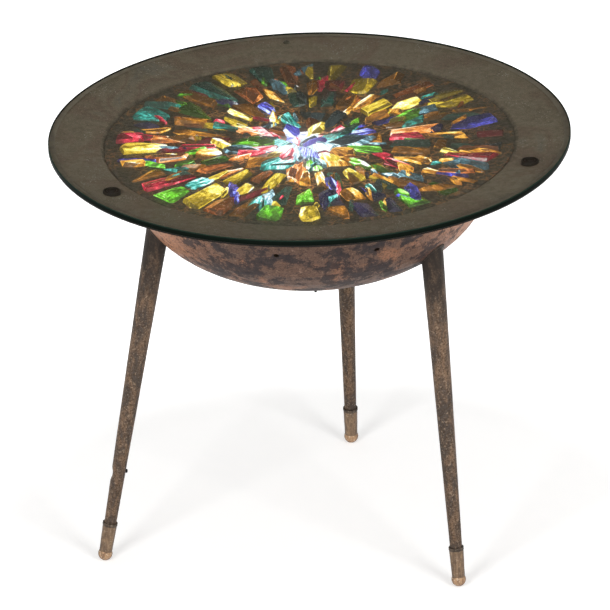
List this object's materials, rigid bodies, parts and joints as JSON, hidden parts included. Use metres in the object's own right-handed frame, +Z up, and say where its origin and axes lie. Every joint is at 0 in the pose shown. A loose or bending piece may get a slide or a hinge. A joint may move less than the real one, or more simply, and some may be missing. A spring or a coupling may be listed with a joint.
{
  "type": "illuminated side table",
  "caption": "Round glass-topped side table: a lamp in a wide-brimmed spun bowl lights a panel of coloured glass chips; tapered tube legs with ball-ended ferrules.",
  "frame": {"origin": "on the floor, on the bowl's axis, under the middle of the glass top", "axes": "+Z is up; +Y points to the back leg; +X is to the right, seen from the front"},
  "size_m": [0.5599, 0.56, 0.471],
  "materials": {
    "top_glass": "clear polished float glass with a dark green ground edge",
    "brown_rubber": "brown rubber, slightly glossy",
    "stud_rubber": "small dark rubber stud",
    "bowl_patina": "spun steel with a copper-brown finish and blue-black patina patches",
    "ledge_steel": "dark painted steel",
    "dark_resin": "dark grey-brown casting resin",
    "amber_glass": "amber slab glass chips, lit from below",
    "yellow_glass": "yellow slab glass chips, lit from below",
    "orange_glass": "orange-brown slab glass chips, lit from below",
    "red_glass": "red slab glass chips, lit from below",
    "leaf_glass": "leaf green slab glass chips, lit from below",
    "teal_glass": "dark teal slab glass chips, lit from below",
    "blue_glass": "cobalt slab glass chips, lit from below",
    "clear_glass": "clear and pale blue slab glass chips, lit from below",
    "leg_patina": "dark brown-grey patinated steel tube",
    "aged_brass": "aged brass with a dark lip",
    "dark_screw": "blackened steel screw",
    "lamp_brass": "plain lamp brass",
    "plated_steel": "nickel-plated",
    "black_plastic": "black nylon",
    "porcelain": "glazed porcelain",
    "bakelite": "black moulded skirt",
    "bulb_glass": "opal bulb glass, lit"
  },
  "bodies": {
    "stand": {"glass_bumpers": "brown_rubber", "rear_bumper": "stud_rubber", "bowl": "bowl_patina", "panel_ledge": "ledge_steel", "leg_front_left": "leg_patina", "leg_front_right": "leg_patina", "leg_back": "leg_patina", "ferrule_front_left": "aged_brass", "ferrule_front_right": "aged_brass", "ferrule_back": "aged_brass", "leg_screw": "dark_screw", "nipple": "lamp_brass", "nipple_washers": "plated_steel", "nipple_locknuts": "lamp_brass", "cord_bushing": "black_plastic", "lampholder_base": "lamp_brass", "lampholder_insert": "porcelain", "lampholder_contact": "lamp_brass", "lampholder_shell": "lamp_brass", "lampholder_skirt": "bakelite", "earth_screw": "dark_screw"},
    "glass": {"glass_top": "top_glass"},
    "panel": {"panel_bed": "dark_resin", "chips_amber": "amber_glass", "chips_yellow": "yellow_glass", "chips_orange": "orange_glass", "chips_red": "red_glass", "chips_leaf": "leaf_glass", "chips_teal": "teal_glass", "chips_blue": "blue_glass", "chips_clear": "clear_glass"},
    "bulb": {"bulb_globe": "bulb_glass", "bulb_cap": "plated_steel"}
  },
  "joints": [
    {"name": "glass_lift", "type": "slide", "parent": "stand", "child": "glass", "axis": [0, 0, 1], "range_m": [0, 0.3]},
    {"name": "panel_lift", "type": "slide", "parent": "stand", "child": "panel", "axis": [0, 0, 1], "range_m": [0, 0.15]},
    {"name": "bulb_turn", "type": "hinge", "parent": "stand", "child": "bulb", "pos_m": [0, 0, 0.3393], "axis": [0, 0, 1], "range_deg": [0, 720]}
  ],
  "couplings": [
    {"joint": "panel_lift", "follows": "glass_lift", "ratio": 0.5}
  ]
}
